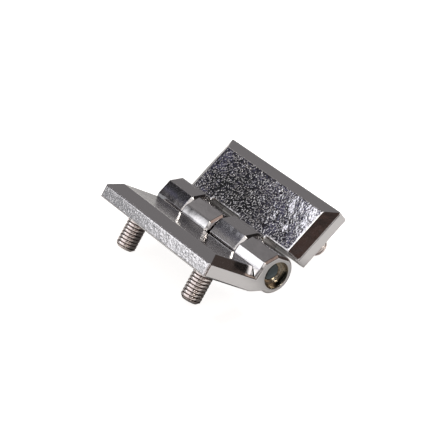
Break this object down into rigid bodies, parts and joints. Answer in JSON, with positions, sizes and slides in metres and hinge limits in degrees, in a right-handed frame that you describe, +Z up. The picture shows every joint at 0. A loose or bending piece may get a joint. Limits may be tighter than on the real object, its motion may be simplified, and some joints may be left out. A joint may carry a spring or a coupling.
{
  "type": "leaf hinge",
  "caption": "Chrome-plated die-cast leaf hinge: bevelled leaves, interleaved faceted knuckles on a steel pin, and threaded studs behind each leaf.",
  "frame": {"origin": "the point on the table under the middle of the pin, with the hinge standing half folded on its barrel and its stud tips", "axes": "+X along the pin towards the end that faces the picture, +Y towards the back leaf, +Z up"},
  "size_m": [0.05, 0.0486, 0.0179],
  "materials": {
    "plated_casting": "bright chrome plate over die-cast zinc, with fine orange peel",
    "pin_steel": "turned steel",
    "stud_steel": "bright nickel-plated steel thread"
  },
  "bodies": {
    "front_leaf": {"leaf_front": "plated_casting", "hinge_pin": "pin_steel", "stud_front_near": "stud_steel", "stud_front_far": "stud_steel"},
    "back_leaf": {"leaf_back": "plated_casting", "stud_back_near": "stud_steel", "stud_back_far": "stud_steel"}
  },
  "joints": [
    {"name": "pin_joint", "type": "hinge", "parent": "front_leaf", "child": "back_leaf", "pos_m": [0, 0, 0.0057], "axis": [1, 0, 0], "range_deg": [-140, 105]}
  ]
}
